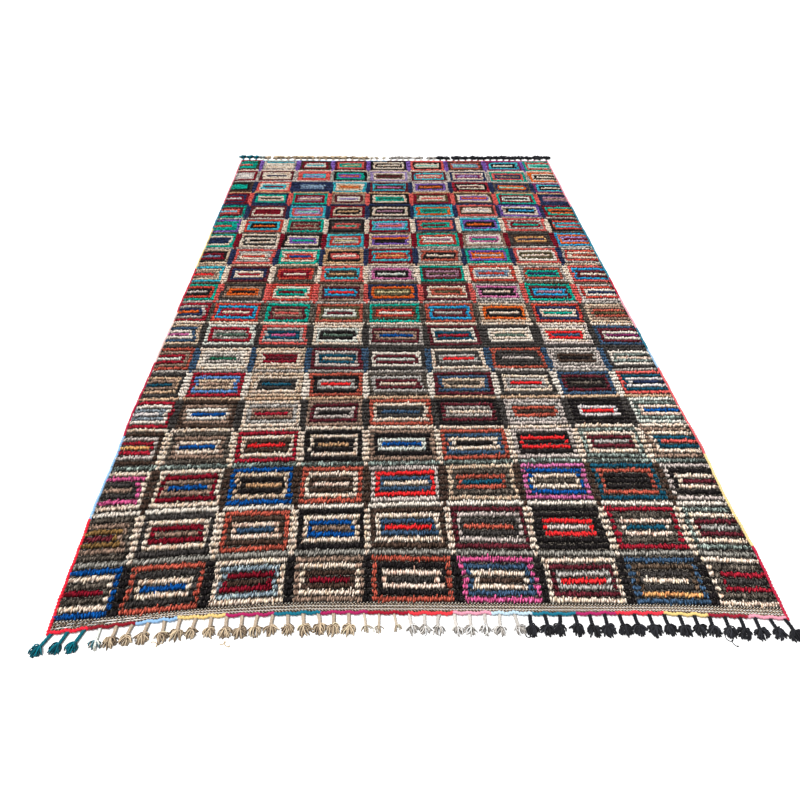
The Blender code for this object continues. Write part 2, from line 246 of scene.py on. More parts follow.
# The basket of yarns: main colour, second colour, how much of the second shows.
YARN = {
    "black": ("171415", "2a2627", 0.20),
    "charcoal": ("302d2c", "4a4644", 0.22),
    "brown": ("35271f", "54423a", 0.28),
    "black_mint": ("1a1e1f", "a9b8af", 0.28),
    "soot": ("272320", "7d7267", 0.24),
    "grey_mix": ("6a6561", "c8bdb4", 0.42),
    "brown_mix": ("33271f", "7c6857", 0.25),
    "red_mix": ("a0232e", "d05a3c", 0.30),
    "olive": ("3c3524", "6d6448", 0.35),
    "grey": ("97928d", "aaa5a0", 0.25),
    "light_grey": ("bfb1ab", "968b85", 0.30),
    "sage": ("7f7c75", "918d86", 0.30),
    "slate": ("5f7690", "8c9fb0", 0.32),
    "blue_mix": ("4c5c69", "b0bfc8", 0.45),
    "slate_grey": ("69727a", "90989d", 0.30),
    "white": ("fef0e0", "dfcab8", 0.22),
    "cream": ("fadac4", "cca68a", 0.26),
    "pinkish": ("f6cab7", "d6a791", 0.25),
    "pearl": ("e2dce6", "b8b1c2", 0.25),
    "frost": ("dfe6df", "aabab0", 0.30),
    "beige": ("d0b49c", "9c8069", 0.32),
    "taupe": ("9a8070", "695548", 0.35),
    "tan": ("c5a388", "987a60", 0.30),
    "camel": ("c49a74", "957252", 0.28),
    "ochre": ("86683f", "62482a", 0.30),
    "khaki": ("c2b389", "93855c", 0.30),
    "apricot": ("e2a068", "b67548", 0.30),
    "wine": ("7c1525", "60101e", 0.25),
    "maroon": ("481920", "6a2a34", 0.30),
    "plum": ("651d49", "8d3a6d", 0.30),
    "crimson": ("99202f", "791827", 0.20),
    "red": ("ff2c2e", "f42226", 0.12),
    "rust": ("b05645", "883a2e", 0.28),
    "coral": ("d55c54", "b44240", 0.25),
    "rose": ("c65a87", "a23f68", 0.28),
    "orchid": ("c26c97", "9c4a75", 0.30),
    "orange": ("ea6124", "bd4b1e", 0.25),
    "royal": ("074c90", "053a70", 0.25),
    "denim": ("3c546e", "2a3e52", 0.28),
    "petrol": ("1a4f63", "103a4b", 0.28),
    "navy": ("1d2743", "303b5a", 0.28),
    "bright_blue": ("2b9cd9", "1c70ac", 0.28),
    "sky": ("88b4de", "648fbc", 0.22),
    "cornflower": ("5b84bd", "40639a", 0.22),
    "turquoise": ("3eacc2", "25869f", 0.28),
    "teal": ("07a38e", "067869", 0.28),
    "mint": ("92dcc8", "5cb09b", 0.28),
    "forest": ("154a34", "2a6650", 0.30),
    "slate_green": ("43574b", "66786b", 0.30),
    "purple": ("60408c", "8062aa", 0.30),
    "lilac": ("a08cbc", "7a6a9a", 0.30),
    "mauve": ("a3778a", "7c5567", 0.35),
}

# The chart, near to far: the yarn of the upright bars, the yarn of the line row beyond the band, then the
# blocks from left to right, each as its frame, second frame, third frame and middle.
CHART = (
    ("black", "sage", "royal cream soot wine", "rust charcoal cream royal", "cream blue_mix wine brown",
     "taupe cream brown wine", "rust black pinkish charcoal", "rose denim cream brown",
     "cream maroon grey red", "denim brown_mix charcoal cream", "cream soot crimson charcoal"),
    ("cream", "white", "soot taupe ochre maroon", "charcoal cream wine taupe", "rust brown pinkish denim",
     "black cream royal taupe", "brown cream denim red", "maroon light_grey charcoal rust",
     "black black red light_grey", "crimson soot pinkish petrol", "black_mint cream maroon grey"),
    ("brown", "black_mint", "cream rose charcoal taupe", "cream wine taupe royal",
     "royal beige black camel", "rust cream brown pinkish", "light_grey red denim cream",
     "beige soot rust petrol", "orchid royal cream soot", "petrol rust black black",
     "light_grey black cream maroon"),
    ("cream", "cream", "brown light_grey crimson apricot", "soot taupe cream royal",
     "crimson cream brown red", "black cream black camel", "taupe black frost royal",
     "rust denim cream black", "light_grey black red black", "black_mint cream maroon grey",
     "taupe cream petrol coral"),
    ("charcoal", "tan", "crimson white slate_grey pearl", "brown taupe white royal",
     "cream grey taupe crimson", "taupe maroon light_grey black", "rust cream charcoal denim",
     "black maroon grey_mix cream", "light_grey grey rust brown", "black black pearl red",
     "frost black_mint pinkish royal"),
    ("white", "grey_mix", "charcoal tan taupe petrol", "crimson cornflower beige taupe",
     "beige cream charcoal petrol", "rust black grey red", "soot grey maroon cream",
     "maroon denim beige soot", "charcoal cream grey red", "denim maroon black soot",
     "coral petrol pearl navy"),
    ("denim", "charcoal", "rust taupe crimson frost", "cream white grey_mix forest",
     "beige cream wine maroon", "maroon light_grey petrol beige", "charcoal white maroon frost",
     "cream charcoal grey red", "rust charcoal charcoal light_grey", "light_grey grey_mix brown black",
     "charcoal white black_mint pinkish"),
    ("charcoal", "cream", "beige denim white orchid", "frost crimson grey_mix slate_green",
     "coral grey petrol rose", "cream frost black slate_green", "grey_mix maroon taupe royal",
     "maroon white petrol crimson", "charcoal white cream slate_green", "light_grey cream red denim",
     "denim maroon white plum"),
    ("soot", "grey_mix", "crimson grey_mix navy orange", "red_mix bright_blue crimson cream",
     "teal maroon taupe coral", "rust olive frost maroon", "teal brown_mix red_mix white",
     "rust bright_blue maroon grey", "beige orange black cream", "red_mix navy pinkish teal",
     "beige taupe rust olive"),
    ("coral", "brown_mix", "teal red_mix black light_grey", "charcoal taupe orange black",
     "red_mix cream teal wine", "taupe maroon bright_blue red", "navy orange olive khaki",
     "maroon cream rust olive", "grey_mix orchid black pinkish", "teal maroon bright_blue mauve",
     "light_grey red_mix white navy"),
    ("cream", "beige", "turquoise beige taupe red", "maroon navy cream crimson",
     "soot red_mix wine pinkish", "coral turquoise brown camel", "light_grey orchid black frost",
     "teal maroon mauve brown_mix", "red_mix pinkish slate red_mix", "grey_mix rust teal navy",
     "coral bright_blue maroon cream"),
    ("navy", "grey_mix", "beige black wine slate", "coral grey cream red_mix", "teal pinkish red_mix royal",
     "camel black coral white", "wine turquoise red_mix apricot", "grey_mix rust black cream",
     "teal purple orange light_grey", "coral white olive pinkish", "grey_mix red_mix cream rust"),
    ("wine", "soot", "teal cream navy navy", "cream charcoal cream black", "black cream purple teal",
     "turquoise red_mix grey khaki", "beige purple black black", "teal red_mix white mauve",
     "taupe white orchid teal", "charcoal brown apricot navy", "bright_blue orange lilac wine"),
    ("cream", "grey_mix", "purple teal teal coral", "red_mix turquoise black orange",
     "teal maroon taupe wine", "black charcoal coral teal", "wine turquoise lilac coral",
     "navy coral teal maroon", "turquoise purple black orange", "coral grey_mix wine teal",
     "black red_mix turquoise coral"),
    ("navy", "navy", "teal maroon coral sky", "maroon cream wine wine", "turquoise coral lilac mint",
     "wine beige black camel", "black cream black mauve", "turquoise orange teal forest",
     "coral brown cream pearl", "purple cream black bright_blue", "wine teal orange brown"),
    ("coral", "camel", "wine navy wine pearl", "navy teal pinkish brown", "teal wine mauve pinkish",
     "taupe maroon white lilac", "black cream teal forest", "wine olive cream coral",
     "brown cream purple orange", "teal wine frost black", "navy navy mauve taupe"),
    ("navy", "light_grey", "brown black teal teal", "coral cream turquoise wine", "navy navy slate slate",
     "turquoise cream camel orange", "maroon turquoise brown orchid", "light_grey purple brown orange",
     "crimson black cream maroon", "soot navy orange mint", "plum turquoise black cream"),
    ("grey_mix", "pinkish", "wine light_grey pearl white", "maroon cream cream navy",
     "coral coral turquoise lilac", "black teal purple orange", "lilac cream brown maroon",
     "maroon turquoise coral cream", "navy cream plum lilac", "teal coral navy taupe",
     "orange cream black cream"),
    ("purple", "wine", "brown teal teal coral", "grey_mix cream cream white", "brown wine white turquoise",
     "maroon coral teal khaki", "black cream black cream", "coral black cream mint",
     "brown rust slate mint", "plum turquoise black white", "teal coral mint teal"),
)

# Rows of a block knotted in another yarn inside its frame: band, block and row, all from 0, and the yarn.
ODD_ROWS = ((0, 7, 1, "apricot"), (12, 4, 4, "orange"), (18, 1, 5, "turquoise"))

# The wraps of each edge: a yarn's colour and where it ends, left to right or near to far.
NEAR_WRAPS = (
    ("ee2138", -0.902), ("8c1222", -0.780), ("95c0ea", -0.672), ("f0cd82", -0.544), ("b0205e", -0.414),
    ("0f7188", -0.286), ("b0205e", -0.160), ("a3142c", -0.047), ("f03a44", 0.074), ("eb9fb4", 0.178),
    ("c3ddeb", 0.290), ("17748c", 0.410), ("b32464", 0.520), ("ee3345", 0.653), ("efd083", 0.772),
    ("98182d", 0.883), ("ee9db1", 1.0),
)
FAR_WRAPS = (
    ("bd2741", -0.86), ("78c3b4", -0.70), ("16748c", -0.52), ("92bde6", -0.36), ("26304f", -0.20),
    ("92bde6", -0.06), ("5c1534", 0.10), ("db5a5c", 0.60), ("b22462", 0.78), ("eb9fb4", 1.0),
)
LEFT_WRAPS = (
    ("ee2138", -1.205), ("95c0ea", -0.860), ("b61f44", -0.464), ("eccac6", -0.120),
    ("c22642", 0.240), ("eed392", 0.640), ("15708a", 0.935), ("d8808f", 1.6),
)
RIGHT_WRAPS = (
    ("bd2241", -1.345), ("eed392", -0.978), ("df6468", -0.520), ("95b9d8", -0.400),
    ("17748c", -0.255), ("e7a2b0", -0.025), ("b8233f", 0.147), ("2b7f95", 0.900), ("df8fa0", 1.6),
)

# The tassels, left to right: yarn, how many, the yarn's two colours, the stem's colour, the stem's girth,
# strands in a tuft, a strand's half width, how far the outer strands turn away in degrees, and their length.
TASSEL_SORTS = (
    ("teal", 3, "0c6b7a", "063a47", "0a606d", 1.0, 24, 2.2 * MM, 70, 30 * MM),
    ("teal", 1, "e4dacb", "0d6474", "cfd2ca", 0.85, 22, 2.2 * MM, 100, 25 * MM),
    ("beige", 16, "c8b497", "746150", "a99885", 1.0, 24, 2.2 * MM, 112, 27 * MM),
    ("cream", 3, "dccdb4", "a8947a", "b9aa97", 0.7, 9, 1.5 * MM, 80, 20 * MM),
    ("cream", 8, "e8e2da", "87807a", "bdb7b0", 0.9, 18, 2.0 * MM, 100, 25 * MM),
    ("black", 18, "17171a", "2a2b30", "1b1c20", 1.05, 28, 2.6 * MM, 112, 28 * MM),
)

# A tuft's strand, at its points from root to tip: its share of the tuft's height and of its own girth.
TUFT_HIGH = np.array((0.75, 1.0, 0.95, 0.65, 0.12))
TUFT_GIRTH = np.array((0.9, 1.0, 1.05, 1.1, 1.0))

# Loose curly threads on the floor: place, heading in degrees, length and colour.
THREADS = (
    (0.800, -1.620, -48, 36 * MM, "1b1d22"),
    (0.262, -1.606, 10, 26 * MM, "1b1d22"),
    (-0.545, -1.600, -25, 30 * MM, "c9b391"),
    (-0.700, -1.602, 165, 26 * MM, "c9b391"),
)

# The wools: streaks of fibre in a metre across, along and up, how far they stand out, roughness and sheen.
# Carded wool and torn rag are matt, with streaks 2.4 mm wide and 7 mm long. Spun yarn has a grain of about
# 1 mm, and shines a little where it is plaited, and more where it is wound tight over the edge.
WOOLS = {
    "pile_wool_and_rag_hand_knotted": ((420.0, 150.0, 420.0), 0.6 * MM, 0.95, 0.0),
    "cord_wool_yarn_overcast": ((1100.0, 1100.0, 1100.0), 0.3 * MM, 0.85, 0.08),
    "fringe_wool_warps_plaited": ((1000.0, 1000.0, 1000.0), 0.3 * MM, 0.92, 0.05),
    "end_band_wool_flat_woven": ((1200.0, 1200.0, 1200.0), 0.25 * MM, 0.95, 0.03),
}

# The weft of the ground: a stitch, the row that it is in, and the crack between two.
WEFT_LONG = 4.2 * MM
WEFT_ROW = 3.4 * MM
WEFT_CRACK = 0.5 * MM

# The ground's points across and along, and how far it reaches before the first band and after the last.
GROUND_GRID = (37, 121)
GROUND_REACH = (90 * MM, 60 * MM)

# The light: the sky's strength, and the lamp's strength, its width and its turns in degrees.
SKY_STRENGTH = 0.66
LAMP_STRENGTH = 4.15
LAMP_WIDTH = 35
LAMP_TURNS = (-10, -22, 0)

# The photograph's view: the camera's place over the cloth, its turns in degrees, and its lens in millimetres.
EYE = (-0.119, -2.2895, 1.5409)
YAW, PITCH, ROLL = -2.642, 43.828, 1.222
LENS, SENSOR = 26.53, 36.0

# The share of a cell of the UV map that is left clear at its edges, and that a tube's closed end takes up.
CELL_CLEAR = 0.06
END_SHARE = 0.08

rng = np.random.default_rng(5)


def linear(code):
    """The linear red, green and blue of an sRGB hex colour."""
    value = np.array([int(code[i:i + 2], 16) / 255 for i in (0, 2, 4)])
    return np.where(value <= 0.04045, value / 12.92, ((value + 0.055) / 1.055) ** 2.4)


def side_x(y):
    """The outside of the cord on the left and on the right at a place along the rug."""
    return np.interp(y, SIDE_Y, LEFT_X), np.interp(y, SIDE_Y, RIGHT_X)


def crept(u, v):
    """How far the row has crept at u across and v along: CREEP, in straight lines between its places."""
    along, *columns = np.array(CREEP).T
    places = CREEP_STEP * (np.arange(5) - 2)
    inside = np.clip(u, places[0], places[-1])
    shares = [np.maximum(0, 1 - np.abs(inside - place) / CREEP_STEP) for place in places]
    return MM * sum(share * np.interp(v, along, column) for share, column in zip(shares, columns))


def pile_place(u, v):
    """The plan place of a point at u across (-1 to 1) and v along: the CAD model's arches and waves, and how
    far the row has crept."""
    t = np.clip((ARCH_FROM_Y - v) / (ARCH_FROM_Y - ARCH_FULL_Y), 0.0, 1.0)
    arch = -ARCH * (u * u - 1 / 3) * t * t * (3 - 2 * t)
    y = v + arch + crept(u, v) + WAVE * (np.sin(3.1 * u + 7.0 * v) + 0.6 * np.sin(6.7 * u - 11.0 * v))
    left, right = side_x(y)
    inset = CORD_WIDE + GAP
    return left + inset + (u + 1) / 2 * (right - left - 2 * inset), y


def row_lines():
    """Each pile row's middle, its pitch, its band and its number in the band, near to far."""
    rows = []
    last = len(BAND_Y) - 1
    for band, middle in enumerate(BAND_Y):
        before = BAND_Y[band - 1] if band else middle - NEAR_PITCH
        after = BAND_Y[band + 1] if band < last else middle + FAR_PITCH
        half = BLOCK_ROWS // 2
        for step in range(-half, half + 1):
            pitch = (middle - before if step < 0 else after - middle) / ROWS_PER_BAND
            rows.append((middle + step * pitch, pitch, band, step + half))
        if band < last:
            rows.append(((middle + after) / 2, (after - middle) / ROWS_PER_BAND, band, BLOCK_ROWS))
    return rows


def waves(u, row, table):
    """The sum of a table's waves: size times the sine of turns across * u + turn by row * row + start."""
    return sum(size * np.sin(across * u + by_row * row + start) for size, across, by_row, start in table)


def uneven(measure, shape=()):
    """How far each one is off in a measure: its SPREAD times chance numbers of the normal curve."""
    return SPREAD[measure] * rng.standard_normal(shape)


def tubes(path, wide, tall, sides, chunk, root=None, tip=None):
    """Closed tubes, one for each path.

    Each ring is an ellipse across its path: middle + cos(a) * wide * across + sin(a) * tall * up, with one
    corner straight up. A pole past each end, or at the given root and tip, closes it. Every chunk of spans
    has its own cell of the UV map, the way round in one direction and the way along in the other.
    Returns points, triangles, corner UVs, and the number of points in a tube."""
    count, rings = path.shape[:2]
    along = np.gradient(path, axis=1) if rings > 1 else (tip - root)[:, None]
    along /= np.linalg.norm(along, axis=2, keepdims=True) + 1e-12
    across = np.cross(along, np.array((0.0, 0.0, 1.0)))
    across /= np.linalg.norm(across, axis=2, keepdims=True) + 1e-12
    up = np.cross(across, along)
    turn = np.pi / 2 + 2 * np.pi * np.arange(sides) / sides
    ring = (
        path[:, :, None]
        + np.cos(turn)[:, None] * wide[:, :, None, None] * across[:, :, None]
        + np.sin(turn)[:, None] * tall[:, :, None, None] * up[:, :, None]
    )
    if root is None:
        root = path[:, 0] - along[:, 0] * 0.7 * tall[:, 0, None]
        tip = path[:, -1] + along[:, -1] * 0.7 * tall[:, -1, None]
    size = rings * sides + 2
    points = np.concatenate([ring.reshape(count, -1, 3), root[:, None], tip[:, None]], axis=1)

    def corner(r, s, height):
        """Corner s of ring r, or the pole before or after the rings, and its place in a cell of the map."""
        point = {-1: size - 2, rings: size - 1}.get(r, r * sides + s % sides)
        return point, s / sides, height

    last_cell = max(rings - 2, 0) // chunk
    inside = 1 - 2 * END_SHARE
    corners, cells = [], []
    for r in range(-1, rings):
        cell = min(max(r, 0) // chunk, last_cell)
        low = END_SHARE + inside * (r - cell * chunk) / chunk
        high = low + inside / chunk
        if r < 0:
            low, high = 0.0, END_SHARE if rings > 1 else 0.5
        elif r == rings - 1:
            low, high = 1 - END_SHARE if rings > 1 else 0.5, 1.0
        for s in range(sides):
            a, b = corner(r, s, low), corner(r, s + 1, low)
            c, d = corner(r + 1, s + 1, high), corner(r + 1, s, high)
            both = [(a, b, c)] * (r >= 0) + [(a, c, d)] * (r < rings - 1)
            corners += both
            cells += [cell] * len(both)
    corners = np.array(corners)
    tris = corners[:, :, 0].astype(int)
    cells_each = last_cell + 1
    grid = math.ceil(math.sqrt(count * cells_each))
    cell = (np.arange(count)[:, None] * cells_each + np.array(cells)).repeat(3, axis=1)
    local = CELL_CLEAR + (1 - 2 * CELL_CLEAR) * corners[:, :, 1:].reshape(-1, 2)
    uv = np.stack([cell % grid + local[:, 0], cell // grid + local[:, 1]], axis=2) / grid
    faces = (np.arange(count)[:, None, None] * size + tris).reshape(-1, 3)
    sample = points[0][tris]
    volume = np.einsum("ij,ij->i", sample[:, 0], np.cross(sample[:, 1], sample[:, 2])).sum()
    if volume < 0:
        faces = faces[:, ::-1]
        uv = uv.reshape(count, -1, 3, 2)[:, :, ::-1].reshape(count, -1, 2)
    return points.reshape(-1, 3), faces, uv.reshape(-1, 2), size


def piece(name, points, faces, material, uv=None, colours=None):
    """One mesh object from arrays, smooth shaded, with its UV map, its yarn colours at the points, and its
    material."""
    mesh = bpy.data.meshes.new(name)
    mesh.vertices.add(len(points))
    mesh.vertices.foreach_set("co", (points + SHIFT).astype(np.float32).ravel())
    corners = faces.shape[1]
    mesh.loops.add(faces.size)
    mesh.loops.foreach_set("vertex_index", faces.astype(np.int32).ravel())
    mesh.polygons.add(len(faces))
    mesh.polygons.foreach_set("loop_start", (np.arange(len(faces)) * corners).astype(np.int32))
    mesh.polygons.foreach_set("use_smooth", np.ones(len(faces), bool))
    mesh.update(calc_edges=True)
    if uv is not None:
        layer = mesh.uv_layers.new(name="OFBake")
        layer.data.foreach_set("uv", uv.astype(np.float32).ravel())
    for key, values in (colours or {}).items():
        attribute = mesh.color_attributes.new(key, "FLOAT_COLOR", "POINT")
        rgba = np.concatenate([values, np.ones((len(values), 1))], axis=1)
        attribute.data.foreach_set("color", rgba.astype(np.float32).ravel())
    mesh.materials.append(material)
    mesh.validate()
    thing = bpy.data.objects.new(name, mesh)
    bpy.context.scene.collection.objects.link(thing)
    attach(thing, "root")
    return thing


def add(tree, kind, links=(), **values):
    """One node of a kind. values set its properties, or its inputs where it has none of that name, and links
    are (input, output socket) pairs."""
    node = tree.nodes.new(kind)
    for key, value in values.items():
        if hasattr(node, key):
            setattr(node, key, value)
        else:
            node.inputs[key.replace("_", " ")].default_value = value
    for key, socket in links:
        tree.links.new(node.inputs[key], socket)
    return node


def new_material(name, **values):
    """A new material: itself, its nodes and its shader, with values set on the shader's own inputs."""
    material = bpy.data.materials.new(name)
    material.use_nodes = True
    shader = material.node_tree.nodes["Principled BSDF"]
    for key, value in values.items():
        shader.inputs[key.replace("_", " ")].default_value = value
    return material, material.node_tree, shader


def wool(name, grain, bump, roughness, sheen):
    """Dyed yarn. Each knot has its own main colour and second colour, mixed fibre by fibre by noise that is
    drawn out along the pile, which gives the eye the streaks of carded wool and torn rag."""
    material, tree, shader = new_material(
        name, Roughness=roughness, Specular_IOR_Level=0.04, Sheen_Weight=sheen, Sheen_Roughness=0.6
    )
    place = add(tree, "ShaderNodeTexCoord").outputs["Object"]
    drawn = add(tree, "ShaderNodeMapping", [("Vector", place)], Scale=grain).outputs["Vector"]
    fibre = add(tree, "ShaderNodeTexNoise", [("Vector", drawn)], Scale=1.0, Detail=3.0, Roughness=0.6)
    fibre = fibre.outputs["Fac"]
    main = add(tree, "ShaderNodeAttribute", attribute_name="yarn").outputs["Color"]
    second = add(tree, "ShaderNodeAttribute", attribute_name="second").outputs["Color"]
    share = add(tree, "ShaderNodeMapRange", [("Value", fibre)], From_Min=0.50, From_Max=0.68)
    links = [("Factor", share.outputs["Result"]), ("A", main), ("B", second)]
    mixed = add(tree, "ShaderNodeMix", links, data_type="RGBA")
    tree.links.new(shader.inputs["Base Color"], mixed.outputs["Result"])
    relief = add(tree, "ShaderNodeBump", [("Height", fibre)], Strength=0.6, Distance=bump)
    tree.links.new(shader.inputs["Normal"], relief.outputs["Normal"])
    return material


def join(parts):
    """Several sets of points, faces and corner UVs as one, each set's UVs in its own column of the map."""
    points, faces, uvs, start = [], [], [], 0
    for number, (p, f, uv, _) in enumerate(parts):
        points.append(p)
        faces.append(f + start)
        uvs.append((uv + (number, 0)) / (len(parts), 1))
        start += len(p)
    return np.concatenate(points), np.concatenate(faces), np.concatenate(uvs)


def yarn_tables():
    """The basket as arrays: the yarns' main colours, second colours and shares."""
    main, second, share = zip(*YARN.values())
    main, second = (np.array([linear(code) for code in codes]) for codes in (main, second))
    return main, second, np.array(share)


def counted(to_bar, slip):
    """The knots between a knot and the bar at its side, with the slip where the block has room for it."""
    return np.floor((to_bar - BAR_HALF) / KNOT_WIDE) + slip * (to_bar > BAR_HALF + 2 * KNOT_WIDE)


def chart_yarns(rows, x, v):
    """The yarn of every knot: that of its line row or its bar, or that of its block's frame. The frame is the
    smaller of the knots counted from the nearest bar and the rows counted from the block's first or last."""
    names = list(YARN)
    bars = np.array([names.index(band[0]) for band in CHART])
    lines = np.array([names.index(band[1]) for band in CHART])
    blocks = np.array([[[names.index(y) for y in b.split()] for b in band[2:]] for band in CHART])
    band = np.array([r[2] for r in rows])[:, None]
    step = np.array([r[3] for r in rows])[:, None]
    along, *bar_columns = np.array(BARS).T
    off = x[:, :, None] - np.stack([np.interp(v, along, column) for column in bar_columns], axis=2)
    block = (off > 0).sum(axis=2)
    off = np.pad(off, ((0, 0), (0, 0), (1, 1)), constant_values=((0, 0), (0, 0), (9, -9)))
    to_left = np.take_along_axis(off, block[:, :, None], 2)[:, :, 0]
    to_right = -np.take_along_axis(off, block[:, :, None] + 1, 2)[:, :, 0]
    slips = rng.choice(SLIPS, size=(len(rows), len(bar_columns) + 1, 2))
    knots = [
        counted(to_bar, np.take_along_axis(slips[:, :, side], block, 1))
        for side, to_bar in enumerate((to_left, to_right))
    ]
    side_ring = np.clip(np.minimum(*knots) // RING_KNOTS, 0, 3).astype(int)
    row_ring = np.maximum(np.minimum(step, BLOCK_ROWS - 1 - step), 0)
    ring = np.minimum(side_ring, row_ring)
    nearest = np.minimum(to_left, to_right)
    on_bar = nearest < BAR_HALF
    chosen = np.where(on_bar, bars[band], blocks[band, block, ring])
    for odd_band, odd_block, odd_step, yarn in ODD_ROWS:
        odd = (band == odd_band) & (block == odd_block) & (step == odd_step) & (ring > 0) & ~on_bar
        chosen = np.where(odd, names.index(yarn), chosen)
    next_bar = bars[np.minimum(band + 1, len(CHART) - 1)]
    line = np.where(nearest < KNOT_WIDE, next_bar, lines[band])
    return np.where(step == BLOCK_ROWS, line, chosen)


def tones(chosen, streak):
    """Two colours for each knot: its yarn's, with the uneven dye of a batch and the mix of spun colours, and
    painted shade on the strands that lie deep.
    """
    main, second, share = yarn_tables()
    count, strands = chosen.shape
    spun = rng.random((count, strands // 2)).repeat(2, axis=1)
    well = rng.uniform(0.5, 1.0, chosen.shape)
    barely = rng.uniform(0, 0.25, chosen.shape)
    mix = np.where(spun < share[chosen], well, barely)[..., None]
    depth = (DYE_MEAN + uneven("dye", chosen.shape) + DYE_DRIFT * streak)[..., None]
    # Strands that lie deep get painted shade.
    depth = np.where(rng.random(depth.shape) < DEEP_STRANDS, DEEP_PAINTED_SHADE * depth, depth)
    first = (main[chosen] * (1 - mix) + second[chosen] * mix) * depth
    other = (second[chosen] * (1 - 0.6 * mix) + main[chosen] * 0.6 * mix) * depth
    return np.clip(first, 0.004, 0.95), np.clip(other, 0.004, 0.95)


def shaded(values, pattern, size):
    """The colour of every point of each tube: the tube's own, times the pattern round each of its rings.
    The patterns are painted light and shade, lighter on top and darker at the sides and below; the poles take
    the darkest and 0.8 of the lightest.
    """
    rings = (size - 2) // len(pattern)
    shade = np.concatenate([np.tile(pattern, rings), [min(pattern), max(pattern) * 0.8]])
    return np.clip(values[:, None] * shade[None, :, None], DARKEST, 0.97).reshape(-1, 3)


def runs(chosen):
    """For every strand, the number of the run of one yarn that it is in; for every run, its first and last
    strand, counted over all the rows."""
    change = np.ones(chosen.shape, bool)
    change[:, 1:] = chosen[:, 1:] != chosen[:, :-1]
    first = np.flatnonzero(change)
    last = np.append(first[1:], chosen.size) - 1
    return (np.cumsum(change.ravel()) - 1).reshape(chosen.shape), first, last


def fullness(u, v):
    """How full a row is. Towards the near right corner the pile is short and thin, and the weft shows."""
    right = np.clip((u - THIN_FROM[0]) / THIN_OVER, 0, 1)
    near = np.clip((THIN_FROM[1] - v) / THIN_OVER, 0, 1)
    return 1.0 - THINNER * right * near


def cores(rows, chosen, material):
    """The core of every run of one yarn: a low closed tube of three rings along its row, in its yarn's colour
    darkened as painted shade.
    """
    _, first, last = runs(chosen)
    line = first // STRANDS
    v = np.array([r[0] for r in rows])[line]
    pitch = np.array([r[1] for r in rows])[line]
    start = (first % STRANDS) / STRANDS * 2 - 1 + CORE_GAP
    stop = (last % STRANDS + 1) / STRANDS * 2 - 1 - CORE_GAP
    u = np.stack([start, (start + stop) / 2, stop], axis=1)
    x, y = pile_place(u, v[:, None])
    full = fullness(u, v[:, None])
    path = np.stack([x, y, np.full_like(x, CORE_HIGH)], axis=2)
    points, faces, uv, size = tubes(path, CORE_WIDE * pitch[:, None] * full, CORE_TALL * full, 3, 1)
    main, second, share = yarn_tables()
    yarn = chosen.ravel()[first]
    mixed = main[yarn] * (1 - share[yarn, None] / 2) + second[yarn] * share[yarn, None] / 2
    colours = {"yarn": shaded(mixed, CORE_PAINTED_SHADE, size), "second": shaded(second[yarn], CORE_PAINTED_SHADE, size)}
    return piece("pile_cores", points, faces, material, uv, colours)


def pile(material):
    """The pile, in five pieces, over its cores. A strand is a spindle of one ring and two poles that rises
    from its row and lies over towards the near end. It slants with its neighbours, and in a short run of one
    yarn the tips draw together, as one knotted bunch."""
    rows = row_lines()
    number = np.arange(len(rows))[:, None]
    v = np.array([r[0] for r in rows])[:, None] + np.zeros((1, STRANDS))
    pitch = np.array([r[1] for r in rows])[:, None]
    u = (np.arange(STRANDS) + 0.5) / STRANDS * 2 - 1 + np.zeros_like(v)
    knot = (np.arange(STRANDS) * KNOTS // STRANDS + 0.5) / KNOTS * 2 - 1 + np.zeros_like(v)
    x, y = pile_place(u, v)
    knot_x, _ = pile_place(knot, v)
    chosen = chart_yarns(rows, knot_x, v)
    made = [cores(rows, chosen, material)]
    run, first, last = runs(chosen)
    middle = (x.ravel()[first] + x.ravel()[last])[run] / 2
    short = (last - first + 1)[run] < SHORT_RUN
    lean = waves(u, number, LEAN_WAVES) + uneven("lean", x.shape)
    lean = lean * np.where(short, SHORT_LEAN, 1.0) + SLANT
    streak = waves(u, number, DYE_WAVES)
    full = fullness(u, v)
    lift = waves(u, number, LIFT_WAVES) + uneven("lift", x.shape)
    shift = waves(u, number, SHIFT_WAVES) + uneven("shift", x.shape)
    crest = uneven("crest", x.shape)
    long = 1 + uneven("length", x.shape)
    girth = 1 + uneven("girth", x.shape)
    edge = np.clip((1 - np.abs(u)) * STRANDS / 2 / EDGE_STRANDS, EDGE_LOW, 1.0)
    tone, other = tones(chosen, streak)
    points = []
    for forth, high, share, draw, top in STRAND:
        points.append(np.stack([
            x + uneven("place", x.shape) + lean * share + draw * short * (middle - x),
            y + shift + (forth + top * crest) * pitch * full * long,
            (high + top * lift) * edge * (1 - top * 0.5 * (1 - full)),
        ], axis=2))
    root, path, tip = points
    bands = np.array([r[2] for r in rows])
    for part, (start, stop) in enumerate(PILE_PIECES, 1):
        pick = (bands >= start) & (bands < stop)
        wide = (STRAND_WIDE * girth)[pick].reshape(-1, 1)
        tall = (STRAND_TALL * girth * edge * full)[pick].reshape(-1, 1)
        ends = root[pick].reshape(-1, 3), tip[pick].reshape(-1, 3)
        verts, faces, uv, _ = tubes(path[pick].reshape(-1, 1, 3), wide, tall, 3, 1, *ends)
        # Painted light on each strand, kept between the darkest and the palest colour.
        shade = np.array(STRAND_PAINTED_LIGHT)[None, :, None]
        colours = {
            key: np.clip(values[pick].reshape(-1, 1, 3) * shade, DARKEST, linear(PALEST)).reshape(-1, 3)
            for key, values in (("yarn", tone), ("second", other))
        }
        made.append(piece(f"pile_{part}", verts, faces, material, uv, colours))
    return made


